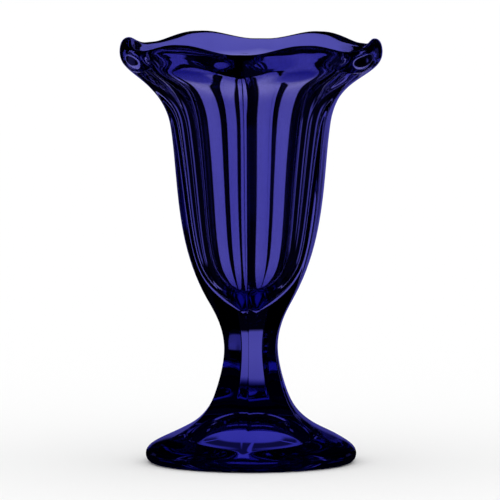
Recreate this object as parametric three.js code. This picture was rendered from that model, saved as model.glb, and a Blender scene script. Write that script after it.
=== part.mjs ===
// Sundae dish of pressed cobalt glass, in millimetres, +Z up, standing on z = 0.
// A tulip bowl with six flat panels opens into a rim of six petals, on a waisted hexagonal
// stem and a round foot that is hollow underneath. Bowl, stem and foot are fused end to end
// at two flat hexagonal faces. A panel faces +X and an arris, where two panels meet, faces -Y.
import * as THREE from 'three';

// Panelled section. A panel radius is the distance from the axis to the middle of a panel.
const PANELS = 6;
const ARRIS_ROUND = 0.06; // radius of the rounded arris, as a share of the panel radius
const PANEL_BOW = 0.016; // how far a panel's middle bows out, as a share of the panel radius

// Foot
const FOOT_RADIUS = 41;
const FOOT_EDGE_HEIGHT = 3.3; // height of the foot's widest line
const FOOT_UNDERCUT = 2.7; // from the widest line in to the resting ring
const RESTING_RING_WIDTH = 16;
const HOLLOW_HEIGHT = 15;

// Stem
const STEM_BASE_HEIGHT = 26;
const STEM_BASE_RADIUS = 14.2;
const WAIST_HEIGHT = 44.5;
const WAIST_RADIUS = 10.25;
const STEM_TOP_HEIGHT = 53;
const STEM_TOP_RADIUS = 11.6;

// Bowl
const BELLY_HEIGHT = 64.6; // where the outside turns from the stem's flare into the tulip
const BELLY_RADIUS = 17;
const THROAT_HEIGHT = 131.5; // where the tulip turns out into the petals
const THROAT_RADIUS = 30.4;
const THROAT_WALL = 4.6;
const INSIDE_RIDGE = 0.03; // how far the inside comes in behind an arris, as a share of its radius
const FLOOR_THICKNESS = 11; // solid glass between the stem and the inside of the bowl

// Rim. A lip is the rounded end of the wall, and its crest is its highest line.
const RIM_HEIGHT = 165; // crest of the petals
const PETAL_RADIUS = 51.1;
const PETAL_LIP_WIDTH = 5.6;
const PETAL_LIP_DEPTH = 5.2; // from the crest down to the widest line
const PETAL_INSIDE_DEPTH = 4.4; // from the crest down to the lip's inner end
const PETAL_CREST_INSET = 3.1; // from the widest line in to the crest
const PETAL_HALF_FLAT = 2; // degrees from a petal's middle to where its lip starts to change
const DIP_BELOW_PETALS = 3.3;
const DIP_RADIUS = 49.4;
const DIP_LIP_WIDTH = 3.1;
const DIP_LIP_DEPTH = 8.2;
const DIP_INSIDE_DEPTH = 1.5;
const DIP_CREST_INSET = 1.4;
const DIP_START = 27; // degrees from a petal's middle to where its lip has become the dip's
const ARRIS_FADE_START = 0.8; // share of the flare that the arris runs up before it fades away

// Headings of the outline, in degrees from straight up, outward positive
const UP = 0;
const OUTWARD = 90;
const INWARD = -90;
const HOLLOW_EDGE_HEADING = 145;
const STEM_BASE_HEADING = -20;
const STEM_TOP_HEADING = 17;
const BELLY_HEADING = 28;
const THROAT_HEADING = 8.5;
const PETAL_INSIDE_HEADING = 182;
const DIP_INSIDE_HEADING = 227;
const INSIDE_THROAT_HEADING = 188.5;

// Pulls: how far an outline keeps its heading as it leaves one station and reaches the next,
// as shares of the distance between the two
const ROUND_PULLS = [0.39, 0.39];
const HOLLOW_PULLS = [0.3, 0.45];
const FOOT_PANEL_PULLS = [0.21, 0.51];
const FOOT_ARRIS_PULLS = [0.26, 0.51];
const STEM_BASE_PULLS = [0.1, 0.4];
const STEM_TOP_PULLS = [0.35, 0.32];
const BELLY_PULLS = [0.39, 0.25];
const TULIP_PULLS = [0.38, 0.29];
const PETAL_FLARE_PULLS = [0.58, 0.29];
const DIP_FLARE_PULLS = [0.53, 0.1];
const PETAL_INSIDE_PULLS = [0.29, 0.58];
const DIP_INSIDE_PULLS = [0.2, 0.5];
const INSIDE_PULLS = [0.67, 0.21];

// Facets: steps around one panel, and steps along each stretch of outline
const STEPS_PER_PANEL = 8;
const LIP_STEPS = 3;
const FOOT_STEPS = 13;
const HOLLOW_STEPS = 9;
const STEM_BASE_STEPS = 8;
const STEM_TOP_STEPS = 4;
const BELLY_STEPS = 5;
const TULIP_STEPS = 12;
const FLARE_STEPS = 9;
const INSIDE_STEPS = 13;

const HALF_PANEL = Math.PI / PANELS;

// Section of a flat panel at a distance of 1, up to the rounded arris.
function flatReach(fromPanelMiddle) {
  const flatEnd = Math.atan((1 - ARRIS_ROUND) * Math.tan(HALF_PANEL));
  if (fromPanelMiddle <= flatEnd) {
    return 1 / Math.cos(fromPanelMiddle);
  }
  const roundCentre = (1 - ARRIS_ROUND) / Math.cos(HALF_PANEL);
  const fromArris = HALF_PANEL - fromPanelMiddle;
  const sideways = roundCentre * Math.sin(fromArris);
  return roundCentre * Math.cos(fromArris) + Math.sqrt(ARRIS_ROUND ** 2 - sideways ** 2);
}

// Section of a panelled length for a panel radius of 1: the flat panel, bowed out most at its middle.
function panelledReach(fromPanelMiddle) {
  const nearMiddle = (1 + Math.cos(PANELS * fromPanelMiddle)) / 2;
  return flatReach(fromPanelMiddle) * (1 + PANEL_BOW * nearMiddle) / (1 + PANEL_BOW);
}

const ARRIS_REACH = panelledReach(HALF_PANEL);

// How far a point has gone from the panel's middle (0) to the arris (1): by the panel's own
// section where crease is 1, and in a smooth wave from petal to dip where crease is 0.
function shareToArris(fromPanelMiddle, crease) {
  const panelled = (panelledReach(fromPanelMiddle) - 1) / (ARRIS_REACH - 1);
  const degrees = THREE.MathUtils.radToDeg(fromPanelMiddle);
  const wave = THREE.MathUtils.smoothstep(degrees, PETAL_HALF_FLAT, DIP_START);
  return THREE.MathUtils.lerp(wave, panelled, crease);
}

// The arris at a share of the way from the throat to the lip: whole, and then fading away.
function creaseInFlare(share) {
  return 1 - THREE.MathUtils.smoothstep(share, ARRIS_FADE_START, 1);
}

// A point of an outline and the way the outline runs there.
function station(radius, height, heading) {
  const turn = THREE.MathUtils.degToRad(heading);
  const way = new THREE.Vector2(Math.sin(turn), Math.cos(turn));
  return { point: new THREE.Vector2(radius, height), way };
}

// Smooth outline between two stations.
function sweep(from, to, [leavePull, reachPull], steps) {
  const chord = from.point.distanceTo(to.point);
  const leave = from.point.clone().addScaledVector(from.way, leavePull * chord);
  const reach = to.point.clone().addScaledVector(to.way, -reachPull * chord);
  return new THREE.CubicBezierCurve(from.point, leave, reach, to.point).getPoints(steps);
}

// The same point or station on the arris of a length with flat panels.
function onArris(point) {
  return new THREE.Vector2(point.x * ARRIS_REACH, point.y);
}

function arrisStation({ point, way }) {
  return { point: onArris(point), way: onArris(way).normalize() };
}

// Rings of a piece: each has a point on the panel's middle, a point on the arris and a crease.
function panelledRings(panelOutline) {
  return panelOutline.map((point) => ({ panel: point, arris: onArris(point), crease: 1 }));
}

function roundRings(outline) {
  return outline.map((point) => ({ panel: point, arris: point, crease: 0 }));
}

function mixedRings(panelOutline, arrisOutline, creaseAt) {
  const last = panelOutline.length - 1;
  return panelOutline.map((point, i) => ({
    panel: point,
    arris: arrisOutline[i],
    crease: creaseAt(i / last),
  }));
}

const axisPoint = (height) => roundRings([new THREE.Vector2(0, height)]);

// Drops the first ring of each further stretch, which repeats the last ring of the one before.
function joinStretches(...stretches) {
  return stretches.reduce((joined, next) => joined.concat(next.slice(1)));
}

// Closed solid through the rings, from the axis out, up and back to the axis: a turned blank
// whose points are then set to the panelled section. Steps gather at the arrises.
function pressedSolid(rings) {
  const steps = PANELS * STEPS_PER_PANEL;
  const blank = new THREE.LatheGeometry(rings.map((ring) => ring.panel), steps);
  const position = blank.attributes.position;
  const point = new THREE.Vector2();
  for (let i = 0; i < position.count; i += 1) {
    const { panel, arris, crease } = rings[i % rings.length];
    const panelsAround = (Math.floor(i / rings.length) % steps) / STEPS_PER_PANEL;
    const nearest = Math.round(panelsAround);
    const offMiddle = panelsAround - nearest;
    const gathered = Math.sin(Math.PI * offMiddle) / 2;
    const angle = 2 * HALF_PANEL * THREE.MathUtils.lerp(offMiddle, gathered, crease);
    point.lerpVectors(panel, arris, shareToArris(Math.abs(angle), crease));
    const around = 2 * HALF_PANEL * nearest + angle;
    position.setXYZ(i, point.x * Math.cos(around), point.x * Math.sin(around), point.y);
  }
  return blank;
}

function glassPiece(name, rings) {
  const cobalt = new THREE.MeshStandardMaterial({ color: 0x1f1f8c, roughness: 0.05, metalness: 0 });
  const piece = new THREE.Mesh(pressedSolid(rings), cobalt);
  piece.name = name;
  return piece;
}

const stemBase = station(STEM_BASE_RADIUS, STEM_BASE_HEIGHT, STEM_BASE_HEADING);
const stemTop = station(STEM_TOP_RADIUS, STEM_TOP_HEIGHT, STEM_TOP_HEADING);

// Foot: domed hollow, resting ring, rounded edge, and a panelled top that fades into the edge.
function makeFoot() {
  const edge = station(FOOT_RADIUS, FOOT_EDGE_HEIGHT, UP);
  const ringOuter = station(FOOT_RADIUS - FOOT_UNDERCUT, 0, OUTWARD);
  const ringInner = station(ringOuter.point.x - RESTING_RING_WIDTH, 0, HOLLOW_EDGE_HEADING);
  const hollowTop = station(0, HOLLOW_HEIGHT, OUTWARD);
  const top = mixedRings(
    sweep(edge, stemBase, FOOT_PANEL_PULLS, FOOT_STEPS),
    sweep(edge, arrisStation(stemBase), FOOT_ARRIS_PULLS, FOOT_STEPS),
    () => 1,
  );
  return glassPiece('foot', [
    ...roundRings(sweep(hollowTop, ringInner, HOLLOW_PULLS, HOLLOW_STEPS)),
    ...joinStretches(roundRings(sweep(ringOuter, edge, ROUND_PULLS, LIP_STEPS)), top),
    ...axisPoint(STEM_BASE_HEIGHT),
  ]);
}

// Stem: a solid hexagonal column, narrowest at the waist.
function makeStem() {
  const waist = station(WAIST_RADIUS, WAIST_HEIGHT, UP);
  const lower = sweep(stemBase, waist, STEM_BASE_PULLS, STEM_BASE_STEPS);
  const upper = sweep(waist, stemTop, STEM_TOP_PULLS, STEM_TOP_STEPS);
  return glassPiece('stem', [
    ...axisPoint(STEM_BASE_HEIGHT),
    ...joinStretches(panelledRings(lower), panelledRings(upper)),
    ...axisPoint(STEM_TOP_HEIGHT),
  ]);
}

// The lip's stations, in the order that the outline passes them.
function lipStations({ radius, crestHeight, width, depth, insideDepth, crestInset, insideHeading }) {
  return {
    edge: station(radius, crestHeight - depth, UP),
    crest: station(radius - crestInset, crestHeight, INWARD),
    inside: station(radius - width, crestHeight - insideDepth, insideHeading),
  };
}

// Bowl: six flat panels outside, nearly round inside, and a rim where the panels turn out into
// upright petals while the arrises between them run out into dips with a sloping inside.
function makeBowl() {
  const belly = station(BELLY_RADIUS, BELLY_HEIGHT, BELLY_HEADING);
  const throat = station(THROAT_RADIUS, THROAT_HEIGHT, THROAT_HEADING);
  const insideRadius = THROAT_RADIUS - THROAT_WALL;
  const ridgeRadius = insideRadius * (1 - INSIDE_RIDGE);
  const insideThroat = station(insideRadius, THROAT_HEIGHT, INSIDE_THROAT_HEADING);
  const ridgedThroat = station(ridgeRadius, THROAT_HEIGHT, INSIDE_THROAT_HEADING);
  const floor = station(0, STEM_TOP_HEIGHT + FLOOR_THICKNESS, INWARD);
  const petal = lipStations({
    radius: PETAL_RADIUS,
    crestHeight: RIM_HEIGHT,
    width: PETAL_LIP_WIDTH,
    depth: PETAL_LIP_DEPTH,
    insideDepth: PETAL_INSIDE_DEPTH,
    crestInset: PETAL_CREST_INSET,
    insideHeading: PETAL_INSIDE_HEADING,
  });
  const dip = lipStations({
    radius: DIP_RADIUS,
    crestHeight: RIM_HEIGHT - DIP_BELOW_PETALS,
    width: DIP_LIP_WIDTH,
    depth: DIP_LIP_DEPTH,
    insideDepth: DIP_INSIDE_DEPTH,
    crestInset: DIP_CREST_INSET,
    insideHeading: DIP_INSIDE_HEADING,
  });

  const tulip = joinStretches(
    sweep(stemTop, belly, BELLY_PULLS, BELLY_STEPS),
    sweep(belly, throat, TULIP_PULLS, TULIP_STEPS),
  );
  const flare = mixedRings(
    sweep(throat, petal.edge, PETAL_FLARE_PULLS, FLARE_STEPS),
    sweep(arrisStation(throat), dip.edge, DIP_FLARE_PULLS, FLARE_STEPS),
    creaseInFlare,
  );
  const lipOutline = (lip) => joinStretches(
    sweep(lip.edge, lip.crest, ROUND_PULLS, LIP_STEPS),
    sweep(lip.crest, lip.inside, ROUND_PULLS, LIP_STEPS),
  );
  const lip = mixedRings(lipOutline(petal), lipOutline(dip), () => 0);
  const insideFlare = mixedRings(
    sweep(petal.inside, insideThroat, PETAL_INSIDE_PULLS, FLARE_STEPS),
    sweep(dip.inside, ridgedThroat, DIP_INSIDE_PULLS, FLARE_STEPS),
    (share) => creaseInFlare(1 - share),
  );
  const inside = mixedRings(
    sweep(insideThroat, floor, INSIDE_PULLS, INSIDE_STEPS),
    sweep(ridgedThroat, floor, INSIDE_PULLS, INSIDE_STEPS),
    () => 1,
  );
  return glassPiece('bowl', [
    ...axisPoint(STEM_TOP_HEIGHT),
    ...joinStretches(panelledRings(tulip), flare, lip, insideFlare, inside),
  ]);
}

const dish = new THREE.Group();
dish.add(makeFoot(), makeStem(), makeBowl());

export default dish;
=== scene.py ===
# %% [markdown]
# # A sundae dish of pressed cobalt glass
#
# A sundae dish is pressed from one gather of hot glass: a mould makes six flat panels outside, and a
# plunger makes the inside, which follows the panels only a little. While the rim is still soft it is
# shaped into six petals. Everything here is in metres, in the frame of the solid model: the dish
# stands on z = 0 with its axis on Z, a panel faces +X and an arris, the edge between two panels,
# faces -Y.

# %% Load the solid model
import math

import bpy
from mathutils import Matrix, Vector


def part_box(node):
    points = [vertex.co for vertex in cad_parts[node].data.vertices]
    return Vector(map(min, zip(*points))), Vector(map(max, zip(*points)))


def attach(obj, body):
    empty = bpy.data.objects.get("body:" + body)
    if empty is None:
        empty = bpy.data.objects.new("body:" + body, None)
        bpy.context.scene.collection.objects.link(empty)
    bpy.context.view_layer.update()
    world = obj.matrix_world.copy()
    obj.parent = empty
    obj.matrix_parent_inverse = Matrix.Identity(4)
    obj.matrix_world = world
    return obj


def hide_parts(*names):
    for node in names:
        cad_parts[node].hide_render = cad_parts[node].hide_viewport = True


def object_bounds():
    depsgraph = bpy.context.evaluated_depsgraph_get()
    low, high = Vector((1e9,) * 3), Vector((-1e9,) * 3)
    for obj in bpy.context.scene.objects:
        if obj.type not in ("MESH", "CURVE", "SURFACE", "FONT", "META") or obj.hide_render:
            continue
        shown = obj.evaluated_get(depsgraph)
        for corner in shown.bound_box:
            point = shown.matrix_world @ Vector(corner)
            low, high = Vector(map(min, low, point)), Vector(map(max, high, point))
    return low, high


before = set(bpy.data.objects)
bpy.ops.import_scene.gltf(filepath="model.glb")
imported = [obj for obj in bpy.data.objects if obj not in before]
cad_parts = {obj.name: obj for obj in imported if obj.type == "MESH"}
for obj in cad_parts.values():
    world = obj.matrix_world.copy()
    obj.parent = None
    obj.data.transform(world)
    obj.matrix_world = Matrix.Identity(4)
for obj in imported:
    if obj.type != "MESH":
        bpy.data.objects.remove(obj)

cad_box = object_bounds()
corners = [tuple(round(c, 4) for c in corner) for corner in cad_box]
print("solid model:", sorted(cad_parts), "between", *corners)

# %% [markdown]
# ## Node trees as sums
#
# Blender builds shapes and finishes from node trees, and a tree is easier to read as a formula than
# as a list of links. So a small class wraps one output of a node, and ordinary operators on it add
# Math nodes. Any other node comes from one method that takes the node's type, its settings and
# the values or links of its sockets. The same two classes serve the shape, the glass and the light.

# %% A socket that can be added, multiplied and compared


class Value:
    """A number that a node tree works out. Operators on it add Math nodes to that tree."""

    def __init__(self, tree, socket):
        self.tree = tree
        self.socket = socket

    def math(self, operation, *others):
        return self.tree.math(operation, self, *others)

    def __add__(self, other):
        return self.math("ADD", other)

    __radd__ = __add__

    def __sub__(self, other):
        return self.math("SUBTRACT", other)

    def __rsub__(self, other):
        return self.tree.math("SUBTRACT", other, self)

    def __mul__(self, other):
        return self.math("MULTIPLY", other)

    __rmul__ = __mul__

    def __truediv__(self, other):
        return self.math("DIVIDE", other)

    def __rtruediv__(self, other):
        return self.tree.math("DIVIDE", other, self)

    def __mod__(self, other):
        return self.math("MODULO", other)

    def __gt__(self, other):
        return self.math("GREATER_THAN", other)

    def __lt__(self, other):
        return self.math("LESS_THAN", other)


def set_stops(elements, stops):
    """Gives a colour ramp its stops, from low to high. A new ramp has two."""
    while len(elements) < len(stops):
        elements.new(1)
    for element, (position, colour) in zip(elements, stops):
        element.position = position
        element.color = colour


class Tree:
    """A node tree, with one method that adds any node and one that adds a Math node."""

    def __init__(self, nodes_and_links):
        self.nodes = nodes_and_links.nodes
        self.links = nodes_and_links.links

    def plug(self, value, socket):
        if isinstance(value, Value):
            self.links.new(value.socket, socket)
        elif isinstance(value, bpy.types.NodeSocket):
            self.links.new(value, socket)
        else:
            socket.default_value = value

    def node(self, kind, settings=None, inputs=None):
        made = self.nodes.new(kind)
        for name, value in (settings or {}).items():
            if name == "stops":
                set_stops(made.color_ramp.elements, value)
            else:
                setattr(made, name, value)
        for name, value in (inputs or {}).items():
            self.plug(value, made.inputs[name])
        return made

    def math(self, operation, *values):
        made = self.node("ShaderNodeMath", {"operation": operation})
        for value, socket in zip(values, made.inputs):
            self.plug(value, socket)
        return Value(self, made.outputs[0])

    def value(self, made, output):
        return Value(self, made.outputs[output])

    def split(self, vector):
        apart = self.node("ShaderNodeSeparateXYZ", inputs={"Vector": vector})
        return [self.value(apart, axis) for axis in "XYZ"]


# %% Ways from one value to another
MIX_COLOUR_LOW, MIX_COLOUR_HIGH, MIX_COLOUR_RESULT = 6, 7, 2  # a Mix node's sockets for colours
MIX_SHADER_LOW, MIX_SHADER_HIGH = 1, 2  # a Mix Shader's sockets


def mix(low, high, share):
    return low + (high - low) * share


def smooth_step(value, low, high):
    """0 below low, 1 above high, and a soft slope between."""
    share = ((value - low) / (high - low)).math("MAXIMUM", 0).math("MINIMUM", 1)
    return share * share * (3 - 2 * share)


def blend(tree, low, high, share):
    """A colour between two others."""
    inputs = {"Factor": share, MIX_COLOUR_LOW: low, MIX_COLOUR_HIGH: high}
    return tree.node("ShaderNodeMix", {"data_type": "RGBA"}, inputs).outputs[MIX_COLOUR_RESULT]


# %% [markdown]
# ## Two outlines
#
# The dish isn't a plain turned shape: cut through the middle of a panel it has one outline, and cut
# through an arris it has another. Both are drawn as Bézier curves with the same stations, from the
# top of the hollow under the foot, out over the resting ring, up the outside, over the lip and down
# the inside to the pointed floor of the bowl. At each station the curve has a heading, in degrees
# from straight up, and each stretch has two pulls that say how long it keeps its headings. The main
# sizes are read from the solid model, and most of the rest are those that the model was drawn with.
# Three things differ: the edge of the hollow is rounded, the floor of the bowl comes to a point, and
# the dips of the rim lie 0.15 mm further in, so that this finer curve stays inside the model's box.

# %% Sizes of the dish
MM = 0.001
PANELS = 6
ARRIS_ROUND = 0.06  # radius of the rounded arris, as a share of the panel's distance from the axis
PANEL_BOW = 0.016  # how far a panel's middle bows out, as a share of the same distance
INSIDE_RIDGE = 0.03  # how far the inside comes in behind an arris, as a share of its radius

foot_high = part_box("foot")[1]
stem_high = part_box("stem")[1]
bowl_low, bowl_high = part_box("bowl")

FOOT_RADIUS = foot_high.x
FOOT_EDGE_HEIGHT = 3.3 * MM
RING_OUTER = FOOT_RADIUS - 2.7 * MM
RING_INNER = RING_OUTER - 16 * MM
HOLLOW_HEIGHT = 15 * MM
HOLLOW_EDGE_ROUND = 0.9 * MM
STEM_BASE = (stem_high.x, foot_high.z)
WAIST = (10.25 * MM, 44.5 * MM)
STEM_TOP = (11.6 * MM, bowl_low.z)
BELLY = (17 * MM, 64.6 * MM)
THROAT = (30.4 * MM, 131.5 * MM)
INSIDE_THROAT = (THROAT[0] - 4.6 * MM, THROAT[1])
RIDGED_THROAT = (INSIDE_THROAT[0] * (1 - INSIDE_RIDGE), THROAT[1])
FLOOR_HEIGHT = bowl_low.z + 8 * MM
RIM_HEIGHT = bowl_high.z
DIP_HEIGHT = RIM_HEIGHT - 3.3 * MM
DIP_RADIUS = 49.25 * MM

half_panel = math.pi / PANELS
arris_centre = (1 - ARRIS_ROUND) / math.cos(half_panel)
ARRIS_REACH = (arris_centre + ARRIS_ROUND) / (1 + PANEL_BOW)
print("arris stands", round(ARRIS_REACH, 4), "times as far out as the panel")

# %% Stations of the two outlines
UP, OUTWARD, INWARD = 0, 90, -90
INSIDE_THROAT_HEADING = 188.5


def lip(radius, crest_height, width, depth, crest_inset, inside_depth, inside_heading):
    """The three stations of a lip: its widest line, its crest and its inner end."""
    return [
        ((radius, crest_height - depth), UP),
        ((radius - crest_inset, crest_height), INWARD),
        ((radius - width, crest_height - inside_depth), inside_heading),
    ]


def on_arris(stations):
    """The same stations on the arris, which stands further out by the same share all the way up."""
    moved = []
    for (radius, height), heading in stations:
        leaning = math.tan(math.radians(heading)) * ARRIS_REACH
        moved.append(((radius * ARRIS_REACH, height), math.degrees(math.atan(leaning))))
    return moved


UNDERSIDE = [
    ((0, HOLLOW_HEIGHT), OUTWARD),
    ((RING_INNER - HOLLOW_EDGE_ROUND, HOLLOW_EDGE_ROUND), 145),
    ((RING_INNER + HOLLOW_EDGE_ROUND, 0), OUTWARD),
    ((RING_OUTER, 0), OUTWARD),
    ((FOOT_RADIUS, FOOT_EDGE_HEIGHT), UP),
]
PANELLED = [(STEM_BASE, -20), (WAIST, UP), (STEM_TOP, 17), (BELLY, 28), (THROAT, 8.5)]
PETAL_LIP = lip(
    radius=bowl_high.x,
    crest_height=RIM_HEIGHT,
    width=5.6 * MM,
    depth=5.2 * MM,
    crest_inset=3.1 * MM,
    inside_depth=4.4 * MM,
    inside_heading=182,
)
DIP_LIP = lip(
    radius=DIP_RADIUS,
    crest_height=DIP_HEIGHT,
    width=3.1 * MM,
    depth=8.2 * MM,
    crest_inset=1.4 * MM,
    inside_depth=1.5 * MM,
    inside_heading=227,
)
FLOOR = ((0, FLOOR_HEIGHT), 238)
print("stations:", len(UNDERSIDE), "below,", len(PANELLED), "on the panels,", len(PETAL_LIP), "on a lip")

# %% Stretches of the two outlines
ROUND = (0.39, 0.39)
STRAIGHT = (0.33, 0.33)
FOOT_TOP_PULLS = {"panel": (0.21, 0.51), "arris": (0.26, 0.51)}
FLARE_PULLS = {"panel": (0.58, 0.29), "arris": (0.53, 0.1)}
INSIDE_FLARE_PULLS = {"panel": (0.29, 0.58), "arris": (0.2, 0.5)}


def pulls_of(side):
    """The two pulls of every stretch, from the hollow to the floor of the bowl."""
    return [
        (0.3, 0.45),  # hollow
        ROUND,  # edge of the hollow
        STRAIGHT,  # resting ring
        ROUND,  # edge of the foot
        FOOT_TOP_PULLS[side],
        (0.1, 0.4),  # stem below the waist
        (0.35, 0.32),  # stem above the waist
        (0.39, 0.25),  # belly
        (0.38, 0.29),  # tulip
        FLARE_PULLS[side],
        ROUND,  # outside of the lip
        ROUND,  # inside of the lip
        INSIDE_FLARE_PULLS[side],
        (0.75, 0.36),  # inside wall and floor
    ]


# %% Draw an outline as a Bézier curve
RINGS_PER_STRETCH = 22


def way(heading):
    turn = math.radians(heading)
    return Vector((math.sin(turn), 0, math.cos(turn)))


def stretch(start, end, pulls):
    """The four points that shape the Bézier curve from one station to the next."""
    (from_place, from_heading), (to_place, to_heading) = start, end
    first = Vector((from_place[0], 0, from_place[1]))
    last = Vector((to_place[0], 0, to_place[1]))
    length = (last - first).length
    return (
        first,
        first + way(from_heading) * length * pulls[0],
        last - way(to_heading) * length * pulls[1],
        last,
    )


def draw_outline(name, stations, pulls, creases):
    """A curve in the XZ plane. Its points' radius holds the crease, which the loft reads."""
    curve_data = bpy.data.curves.new(name, "CURVE")
    curve_data.dimensions = "3D"
    spline = curve_data.splines.new("BEZIER")
    spline.resolution_u = RINGS_PER_STRETCH
    points = spline.bezier_points
    points.add(len(stations) - 1)
    for point, crease in zip(points, creases):
        point.handle_left_type = "FREE"
        point.handle_right_type = "FREE"
        point.radius = crease
    for i, pull in enumerate(pulls):
        first, leave, reach, last = stretch(stations[i], stations[i + 1], pull)
        points[i].co = first
        points[i].handle_right = leave
        points[i + 1].handle_left = reach
        points[i + 1].co = last
    points[0].handle_left = points[0].co
    points[-1].handle_right = points[-1].co
    curve = bpy.data.objects.new(name, curve_data)
    bpy.context.scene.collection.objects.link(curve)
    return curve


def draw_side(side, panelled, rim, inside_throat):
    """One of the two outlines. Its crease is 1 where the glass is panelled and 0 where it is round."""
    inside = [(inside_throat, INSIDE_THROAT_HEADING), FLOOR]
    below = [0] * (len(UNDERSIDE) - 1)
    creases = below + [1] * (1 + len(panelled)) + [0] * len(rim) + [1] * len(inside)
    return draw_outline(side + "_outline", UNDERSIDE + panelled + rim + inside, pulls_of(side), creases)


panel_outline = draw_side("panel", PANELLED, PETAL_LIP, INSIDE_THROAT)
arris_outline = draw_side("arris", on_arris(PANELLED), DIP_LIP, RIDGED_THROAT)
print("each outline has", len(panel_outline.data.splines[0].bezier_points), "stations")

# %% [markdown]
# ## The loft
#
# The whole glass follows one rule: at every height the section goes from the panel outline to the arris
# outline and back, six times around. Where the glass is panelled it goes there along a flat panel with
# a rounded arris. At the rim it goes there in a smooth wave. That is a job for Geometry Nodes: a flat
# grid is rolled up, each of its rows takes one ring of the two outlines, and then the seam and the two
# poles are merged. Pressed glass is never quite true, so the wall also gives way a little here and
# there. That bends what is seen through the glass, as in a real dish.

# %% Inputs of the loft
LOFT_INPUTS = [
    ("Panel outline", "NodeSocketObject", None),
    ("Arris outline", "NodeSocketObject", None),
    ("Panels", "NodeSocketInt", PANELS),
    ("Steps per panel", "NodeSocketInt", 40),
    ("Gathering of steps", "NodeSocketFloat", 0.85),
    ("Arris round", "NodeSocketFloat", ARRIS_ROUND),
    ("Panel bow", "NodeSocketFloat", PANEL_BOW),
    ("Fade start", "NodeSocketFloat", 0.8),
    ("Petal flat", "NodeSocketFloat", math.radians(2)),
    ("Dip start", "NodeSocketFloat", math.radians(27)),
    ("Waviness", "NodeSocketFloat", 0.1 * MM),
    ("Waves per metre", "NodeSocketFloat", 55.0),
    ("Glass", "NodeSocketMaterial", None),
]


def add_sockets(group, inputs):
    for name, kind, default in inputs:
        socket = group.interface.new_socket(name, in_out="INPUT", socket_type=kind)
        if default is not None:
            socket.default_value = default
    group.interface.new_socket("Geometry", in_out="OUTPUT", socket_type="NodeSocketGeometry")


print("the loft takes", len(LOFT_INPUTS), "inputs")

# %% Rings from the outlines


def evaluated_points(tree, outline):
    """The points along an outline, one for each ring of the dish."""
    curve = tree.node("GeometryNodeObjectInfo", inputs={"Object": outline}).outputs["Geometry"]
    return tree.node("GeometryNodeResampleCurve", {"mode": "EVALUATED"}, {"Curve": curve}).outputs[0]


def sample(tree, points, ring, field, kind):
    """What a field says at one ring."""
    said = tree.node(field).outputs[0]
    inputs = {"Geometry": points, "Index": ring, "Value": said}
    return tree.node("GeometryNodeSampleIndex", {"data_type": kind}, inputs).outputs[0]


def radius_and_height(tree, points, ring):
    place = tree.split(sample(tree, points, ring, "GeometryNodeInputPosition", "FLOAT_VECTOR"))
    return place[0], place[2]


# %% Sections between panel and arris


def panel_section(off_middle, arris_round, half):
    """How far out a flat panel and its rounded arris stand, for a panel at a distance of 1."""
    centre = (1 - arris_round) / half.math("COSINE")
    flat_end = ((1 - arris_round) * half.math("TANGENT")).math("ARCTANGENT")
    from_arris = half - off_middle
    sideways = centre * from_arris.math("SINE")
    depth = (arris_round * arris_round - sideways * sideways).math("MAXIMUM", 0)
    rounded = centre * from_arris.math("COSINE") + depth.math("SQRT")
    flat = 1 / off_middle.math("COSINE")
    return mix(flat, rounded, off_middle > flat_end), centre + arris_round


def share_to_arris(off_middle, crease, size):
    """How far a section has gone from the panel outline to the arris outline, from 0 to 1."""
    section, arris_reach = panel_section(off_middle, size["Arris round"], math.pi / size["Panels"])
    bow = size["Panel bow"]
    from_middle = (1 - (off_middle * size["Panels"]).math("COSINE")) / 2
    bowed = section * (1 + bow * (1 - from_middle)) / (1 + bow)
    along_panel = (bowed - 1) / (arris_reach / (1 + bow) - 1)
    along_petal = smooth_step(off_middle, size["Petal flat"], size["Dip start"])
    creased = 1 - smooth_step(1 - crease, size["Fade start"], 1)
    return mix(along_petal, along_panel, creased)


def turn_of(column, size):
    """A column's angle around the axis, and its angle from the middle of the nearest panel."""
    panel_turn = math.tau / size["Panels"]
    panels_around = column / size["Steps per panel"]
    nearest = panels_around.math("ROUND")
    off = panels_around - nearest
    gathered = (off * math.pi).math("SINE") / 2
    angle = panel_turn * mix(off, gathered, size["Gathering of steps"])
    return nearest * panel_turn + angle, angle.math("ABSOLUTE")


# %% Build the loft tree
TRUE_WITHIN = 4 * MM  # the wall is true this close to the axis and to the table
MERGE_DISTANCE = 0.001 * MM


def point_at(tree, radius, around, height):
    made = tree.node("ShaderNodeCombineXYZ", inputs={"Z": height})
    tree.plug(radius * around.math("COSINE"), made.inputs["X"])
    tree.plug(radius * around.math("SINE"), made.inputs["Y"])
    return made.outputs[0]


def give_way(tree, radius, around, height, size):
    """The radius, drawn in a little by a soft noise."""
    place = point_at(tree, radius, around, height)
    noise = tree.node(
        "ShaderNodeTexNoise",
        {"noise_dimensions": "3D"},
        {"Vector": place, "Scale": size["Waves per metre"], "Detail": 1.0},
    )
    on_wall = (radius / TRUE_WITHIN).math("MINIMUM", 1) * (height / TRUE_WITHIN).math("MINIMUM", 1)
    return radius - tree.value(noise, 0) * size["Waviness"] * on_wall


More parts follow.
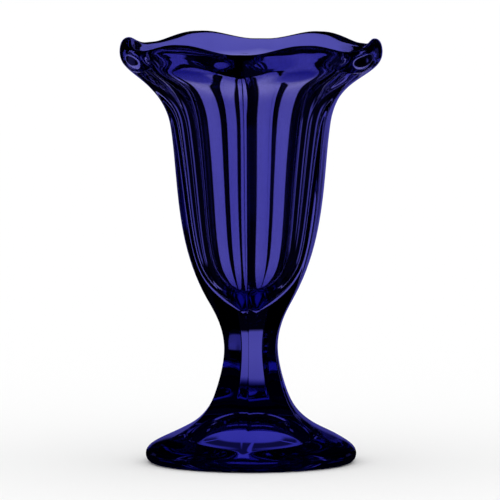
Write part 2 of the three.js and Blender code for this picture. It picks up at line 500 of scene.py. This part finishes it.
def build_loft():
    group = bpy.data.node_groups.new("Pressed glass loft", "GeometryNodeTree")
    add_sockets(group, LOFT_INPUTS)
    tree = Tree(group)
    given = tree.node("NodeGroupInput")
    size = {name: tree.value(given, name) for name, kind, default in LOFT_INPUTS}

    panel_points = evaluated_points(tree, size["Panel outline"])
    arris_points = evaluated_points(tree, size["Arris outline"])
    counted = tree.node(
        "GeometryNodeAttributeDomainSize",
        {"component": "CURVE"},
        {"Geometry": panel_points},
    )
    rings = tree.value(counted, "Point Count")
    index = tree.value(tree.node("GeometryNodeInputIndex"), 0)
    ring = index % rings
    around, off_middle = turn_of((index / rings).math("FLOOR"), size)

    panel_radius, panel_height = radius_and_height(tree, panel_points, ring)
    arris_radius, arris_height = radius_and_height(tree, arris_points, ring)
    crease = Value(tree, sample(tree, panel_points, ring, "GeometryNodeInputRadius", "FLOAT"))
    share = share_to_arris(off_middle, crease, size)
    radius = mix(panel_radius, arris_radius, share)
    height = mix(panel_height, arris_height, share)
    wavy = give_way(tree, radius, around, height, size)

    columns = size["Panels"] * size["Steps per panel"] + 1
    grid = tree.node("GeometryNodeMeshGrid", inputs={"Vertices X": columns, "Vertices Y": rings})
    made = grid.outputs["Mesh"]
    for kind, inputs in [
        ("GeometryNodeSetPosition", {"Position": point_at(tree, wavy, around, height)}),
        ("GeometryNodeMergeByDistance", {"Distance": MERGE_DISTANCE}),
        ("GeometryNodeSetShadeSmooth", {}),
        ("GeometryNodeRealizeInstances", {}),
        ("GeometryNodeSetMaterial", {"Material": size["Glass"]}),
        ("NodeGroupOutput", {}),
    ]:
        step = tree.node(kind, inputs={"Geometry": made, **inputs})
        made = step.outputs[0] if step.outputs else None
    return group


loft = build_loft()
print("loft tree:", len(loft.nodes), "nodes")

# %% [markdown]
# ## Cobalt glass
#
# Cobalt takes out red and green and lets blue through. In thick places, such as the stem, the colour
# comes from the depth of glass, which is Volume Absorption. The thin wall of the bowl would then look
# almost clear, while the real one is as blue as the stem, so each surface tints the light too. The
# tint goes with the height: the rim is looked at through one wall and the bowl through two, and both
# are equally blue. Just below the rim it is lightest, which keeps the flare as bright as the bowl.
# Faint cords, streaks that run the way the glass flowed, make it a little uneven. Reflections in such
# dark glass are blue as well.

# %% Make the glass
STEM_TINT = (0.19, 0.18, 0.57, 1)
BOWL_TINT = (0.345, 0.33, 0.72, 1)
THROAT_TINT = (0.55, 0.53, 0.86, 1)
RIM_TINT = (0.115, 0.11, 0.5, 1)
TINT_LEVELS = [
    (50 * MM, STEM_TINT),
    (75 * MM, BOWL_TINT),
    (143 * MM, BOWL_TINT),
    (148 * MM, THROAT_TINT),
    (152 * MM, THROAT_TINT),
    (156 * MM, RIM_TINT),
]
CORD_DEPTH = 0.12
CORDS_PER_METRE = (220, 220, 25)
SMUDGE_ROUGHNESS = 0.012
SMUDGES_PER_METRE = 90.0
REFLECTION_TINT = (0.3, 0.3, 0.7, 1)
ABSORPTION_TINT = (0.02, 0.0, 0.65, 1)
ABSORPTION_PER_METRE = 50.0
GLASS_INDEX = 1.52


def tint_by_height(tree, height):
    stops = [(level / RIM_HEIGHT, colour) for level, colour in TINT_LEVELS]
    ramp = tree.node("ShaderNodeValToRGB", {"stops": stops}, {"Fac": height / RIM_HEIGHT})
    return ramp.outputs["Color"]


def make_cobalt_glass():
    material = bpy.data.materials.new("cobalt_glass")
    material.use_nodes = True
    material.node_tree.nodes.clear()
    tree = Tree(material.node_tree)
    place = tree.node("ShaderNodeTexCoord").outputs["Object"]
    height = tree.split(place)[2]
    drawn_out = tree.node("ShaderNodeMapping", inputs={"Vector": place, "Scale": CORDS_PER_METRE})
    cords = tree.node("ShaderNodeTexNoise", inputs={"Vector": drawn_out.outputs[0], "Scale": 1.0})
    let_through = 1 - CORD_DEPTH * tree.value(cords, 0)
    tint = tree.node(
        "ShaderNodeVectorMath",
        {"operation": "SCALE"},
        {"Vector": tint_by_height(tree, height), "Scale": let_through},
    )
    smudges = tree.node("ShaderNodeTexNoise", inputs={"Vector": place, "Scale": SMUDGES_PER_METRE})
    glass = tree.node(
        "ShaderNodeBsdfPrincipled",
        inputs={
            "Base Color": tint.outputs["Vector"],
            "Roughness": SMUDGE_ROUGHNESS * tree.value(smudges, 0),
            "IOR": GLASS_INDEX,
            "Transmission Weight": 1.0,
            "Specular Tint": REFLECTION_TINT,
        },
    )
    depth = tree.node(
        "ShaderNodeVolumeAbsorption",
        inputs={"Color": ABSORPTION_TINT, "Density": ABSORPTION_PER_METRE},
    )
    tree.node(
        "ShaderNodeOutputMaterial",
        inputs={"Surface": glass.outputs[0], "Volume": depth.outputs[0]},
    )
    return material


cobalt_glass = make_cobalt_glass()
print("cobalt glass:", len(cobalt_glass.node_tree.nodes), "nodes")

# %% Loft the glass and make it a plain mesh


def loft_dish():
    dish = bpy.data.objects.new("pressed_glass", bpy.data.meshes.new("pressed_glass"))
    bpy.context.scene.collection.objects.link(dish)
    modifier = dish.modifiers.new("Loft", "NODES")
    modifier.node_group = loft
    chosen = {"Panel outline": panel_outline, "Arris outline": arris_outline, "Glass": cobalt_glass}
    for socket in loft.interface.items_tree:
        if socket.item_type == "SOCKET" and socket.in_out == "INPUT" and socket.name in chosen:
            modifier[socket.identifier] = chosen[socket.name]
    bpy.context.view_layer.update()
    graph = bpy.context.evaluated_depsgraph_get()
    mesh = bpy.data.meshes.new_from_object(dish.evaluated_get(graph))
    dish.modifiers.remove(modifier)
    dish.data = mesh
    return dish


dish = loft_dish()
for outline in (panel_outline, arris_outline):
    bpy.data.objects.remove(outline)
print("pressed glass:", len(dish.data.vertices), "points,", len(dish.data.polygons), "faces")

# %% Put the glass in place of the solids
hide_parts("bowl", "stem", "foot")
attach(dish, "root")
print("pressed glass stands for bowl, stem and foot")

# %% [markdown]
# ## Studio
#
# Glass has no colour of its own to light: it shows what stands behind it. A photographer sets it in
# front of a narrow white background and keeps the rest of the room dark, and that gives the glass its
# dark bands and edges. So a bright window stands behind the dish as the photo sees it. Narrow bluish
# windows all around draw fine lines along the sides of the bowl, and light the dish from wherever else
# it is seen. Only rays that come from the glass see the windows. The camera sees a white room, and the
# floor is lit by one, so that it keeps the dish's shadow.

# %% Windows around the dish
PHOTO_AZIMUTH = 4.6  # degrees that the camera stands round from -Y towards +X
WINDOWS = 8
HALF_BACK_WINDOW = math.radians(14.2)
HALF_SIDE_WINDOW = math.radians(6.5)
WINDOW_SOFTNESS = math.radians(1.5)
SIDE_WINDOW_LIGHT = 0.6
SIDE_WINDOW_TINT = (0.5, 0.5, 0.88, 1)
DARK_ROOM_LIGHT = 0.01
REFLECTED_BLUE = (0.06, 0.056, 0.36, 1)
CLEAR_WHITE = (1, 1, 1, 1)


def windows_at(tree, x, y, side_light):
    """Brightness and colour of the room in the direction of x and y from the dish's axis."""
    from_back = y.math("ARCTAN2", x) - math.radians(PHOTO_AZIMUTH + 90)
    spacing = math.tau / WINDOWS
    from_window = from_back.math("WRAP", spacing / 2, -spacing / 2).math("ABSOLUTE")
    at_back = from_back.math("WRAP", math.pi, -math.pi).math("ABSOLUTE") < spacing / 2
    half = mix(HALF_SIDE_WINDOW, HALF_BACK_WINDOW, at_back)
    opening = 1 - smooth_step(from_window, half - WINDOW_SOFTNESS, half + WINDOW_SOFTNESS)
    light = mix(DARK_ROOM_LIGHT, mix(side_light, 1, at_back), opening)
    return light, blend(tree, SIDE_WINDOW_TINT, CLEAR_WHITE, at_back)


def rays(tree):
    """For each kind of ray, 1 where it is that kind that looks."""
    path = tree.node("ShaderNodeLightPath")
    out_of_glass = tree.value(path, "Is Transmission Ray")
    return {
        "camera": tree.value(path, "Is Camera Ray"),
        "off paper": tree.value(path, "Is Diffuse Ray"),
        "off glass": tree.value(path, "Is Glossy Ray") * (1 - out_of_glass),
        "out of glass": out_of_glass,
    }


print(WINDOWS, "windows, the back one", round(math.degrees(2 * HALF_BACK_WINDOW), 1), "degrees wide")

# %% [markdown]
# The floor is white paper with a soft shadow for the camera. For rays that come out of the glass it
# shows painted light and shade instead, from an Emission: painted shade close around the dish, and the
# windows' light painted on it from further out. Under the hollow of the foot it has a painted pool of
# blue light, which stands in for the light that comes down through the glass. The painted spot of light
# is drawn out towards the back, and on the front side, towards PHOTO_AZIMUTH, it has dim lobes of
# painted shade, for the shade that the panels of the foot leave in it.

# %% Floor
FLOOR_RADIUS = 6.0
FLOOR_SIDES = 96
FLOOR_GAP = 0.2 * MM
FLOOR_WHITE = (0.88, 0.88, 0.88, 1)
BLACK = (0, 0, 0, 1)
# Painted shade and painted light on the floor, which only rays from the glass see
SHADE_LIGHT = 0.02
SHADE_EDGE = (55 * MM, 75 * MM)  # where the shade around the dish gives way to the back window
SIDE_SHADE_EDGE = (250 * MM, 350 * MM)  # where it gives way to the side windows
# A painted pool of blue light under the hollow of the foot, drawn out towards the back
HOLLOW_LIGHT = 0.9
PAINTED_HOLLOW_LIGHT_BLUE = (0.36, 0.37, 0.95, 1)
HOLLOW_EDGE = (20.3 * MM, 22.3 * MM)
HOLLOW_DRAWN_OUT = 1.22  # how many times as far the spot of light reaches at the back
# Dim lobes of painted shade in that pool, beside the arrises on the front side
LOBE_LIGHT = 0.12
LOBE_SIDES = (-0.995, -0.93)  # soft edge beside an arris: cosine of PANELS times the angle
LOBE_START = (12 * MM, 15 * MM)
LOBE_END = (19 * MM, 20.8 * MM)
LOBE_FRONT = (-6 * MM, 6 * MM)


def light_under_dish(x, y, from_axis):
    """Brightness of the painted light and painted shade on the floor under the dish."""
    beside_arris = smooth_step((y.math("ARCTAN2", x) * PANELS).math("COSINE"), *LOBE_SIDES)
    ring = smooth_step(from_axis, *LOBE_START) * (1 - smooth_step(from_axis, *LOBE_END))
    turn = math.radians(PHOTO_AZIMUTH)
    sideways = x * math.cos(turn) + y * math.sin(turn)
    forward = x * math.sin(turn) - y * math.cos(turn)
    in_front = smooth_step(forward, *LOBE_FRONT)
    # The painted pool of light, dimmed to painted shade in the lobes
    in_hollow = mix(HOLLOW_LIGHT, LOBE_LIGHT, beside_arris * ring * in_front)
    along = forward / mix(HOLLOW_DRAWN_OUT, 1, forward > 0)
    reach = (sideways * sideways + along * along).math("SQRT")
    return mix(in_hollow, SHADE_LIGHT, smooth_step(reach, *HOLLOW_EDGE))


def make_floor_with_painted_light():
    material = bpy.data.materials.new("paper_with_painted_light")
    material.use_nodes = True
    material.node_tree.nodes.clear()
    tree = Tree(material.node_tree)
    x, y = tree.split(tree.node("ShaderNodeTexCoord").outputs["Object"])[:2]
    from_axis = (x * x + y * y).math("SQRT")
    away = smooth_step(from_axis, *SHADE_EDGE)
    # The windows' light painted on the floor, beyond the painted shade around the dish
    side_light = SIDE_WINDOW_LIGHT * smooth_step(from_axis, *SIDE_SHADE_EDGE)
    window, window_colour = windows_at(tree, x, y, side_light)
    # The painted light: the windows' light further out, the painted pool under the dish, painted shade
    # between
    light = mix(light_under_dish(x, y, from_axis), window, away)
    ray = rays(tree)
    # Colour of the painted light: blue under the hollow, the windows' colour further out, blue in
    # reflections
    tone = blend(tree, blend(tree, PAINTED_HOLLOW_LIGHT_BLUE, window_colour, away), REFLECTED_BLUE, ray["off glass"])
    # An Emission paints this light and shade on the floor for rays from the glass; the camera sees the
    # paper
    painted_emission = tree.node("ShaderNodeEmission", inputs={"Color": blend(tree, BLACK, tone, light)})
    paper = tree.node("ShaderNodeBsdfDiffuse", inputs={"Color": FLOOR_WHITE})
    from_glass = ray["off glass"] + ray["out of glass"]
    shaders = {MIX_SHADER_LOW: paper.outputs[0], MIX_SHADER_HIGH: painted_emission.outputs[0]}
    seen = tree.node("ShaderNodeMixShader", inputs={"Fac": from_glass, **shaders})
    tree.node("ShaderNodeOutputMaterial", inputs={"Surface": seen.outputs[0]})
    return material


def make_floor():
    bpy.ops.mesh.primitive_circle_add(vertices=FLOOR_SIDES, radius=FLOOR_RADIUS, fill_type="NGON")
    floor = bpy.context.object
    floor.name = "floor"
    floor.location.z = -FLOOR_GAP
    floor.data.materials.append(make_floor_with_painted_light())


make_floor()
print("floor:", 2 * FLOOR_RADIUS, "m across")

# %% [markdown]
# The room around the floor is the world, so no lamp is needed. It is plain white for the camera, and it
# lights the paper evenly from all around. Rays from the glass that pass over the edge of the floor see
# the windows there as well, up to their soft upper edges, in blue where they are reflected.

# %% World
FLOOR_LIGHT = 1.14  # brightness of the room for the paper
WINDOW_TOP = (0.2, 0.27)  # height of the windows' soft upper edge, as the Z of a direction
REFLECTED_TOP = (0.07, 0.15)  # the same for reflections, which show only the foot of the windows


def make_world():
    world = bpy.data.worlds.new("studio")
    bpy.context.scene.world = world
    world.use_nodes = True
    world.node_tree.nodes.clear()
    tree = Tree(world.node_tree)
    x, y, z = tree.split(tree.node("ShaderNodeTexCoord").outputs["Generated"])
    window, window_colour = windows_at(tree, x, y, SIDE_WINDOW_LIGHT)
    ray = rays(tree)
    through = ray["out of glass"] * mix(window, DARK_ROOM_LIGHT, smooth_step(z, *WINDOW_TOP))
    reflected = ray["off glass"] * mix(window, DARK_ROOM_LIGHT, smooth_step(z, *REFLECTED_TOP))
    tone = blend(tree, CLEAR_WHITE, window_colour, ray["out of glass"])
    light = tree.node(
        "ShaderNodeBackground",
        inputs={
            "Color": blend(tree, tone, REFLECTED_BLUE, ray["off glass"]),
            "Strength": ray["camera"] + ray["off paper"] * FLOOR_LIGHT + through + reflected,
        },
    )
    tree.node("ShaderNodeOutputWorld", inputs={"Surface": light.outputs[0]})
    return world


print("studio light:", len(make_world().node_tree.nodes), "nodes")

# %% [markdown]
# ## Camera
#
# The photo looks down on the dish a little, and with hardly any perspective, so it was taken from far
# away. A long lens at a few metres does the same. The width of the picture at the dish gives the lens,
# and the view transform is Standard, so that colours come out as they are written.

# %% Camera
CAMERA_DISTANCE = 3.6
CAMERA_ELEVATION = 5.2  # in degrees
SENSOR_WIDTH = 36  # in millimetres, as the lens is
VIEW_END = 50.0
FRAME_WIDTH = 194.25 * MM  # width of the picture at the dish's axis
DISH_RIGHT_OF_MIDDLE = 0.4 * MM


def make_camera():
    azimuth = math.radians(PHOTO_AZIMUTH)
    elevation = math.radians(CAMERA_ELEVATION)
    right = Vector((math.cos(azimuth), math.sin(azimuth), 0))
    back = Vector((math.sin(azimuth), -math.cos(azimuth), 0)) * math.cos(elevation)
    back.z = math.sin(elevation)
    target = Vector((0, 0, RIM_HEIGHT / 2)) - right * DISH_RIGHT_OF_MIDDLE
    lens = bpy.data.cameras.new("camera")
    lens.sensor_width = SENSOR_WIDTH
    lens.sensor_fit = "HORIZONTAL"
    lens.lens = SENSOR_WIDTH * CAMERA_DISTANCE / FRAME_WIDTH
    lens.clip_end = VIEW_END
    camera = bpy.data.objects.new("camera", lens)
    camera.location = target + back * CAMERA_DISTANCE
    camera.rotation_euler = (target - camera.location).to_track_quat("-Z", "Y").to_euler()
    bpy.context.scene.collection.objects.link(camera)
    bpy.context.scene.camera = camera
    return lens


print("camera: lens of", round(make_camera().lens), "mm")
bpy.context.scene.view_settings.view_transform = "Standard"
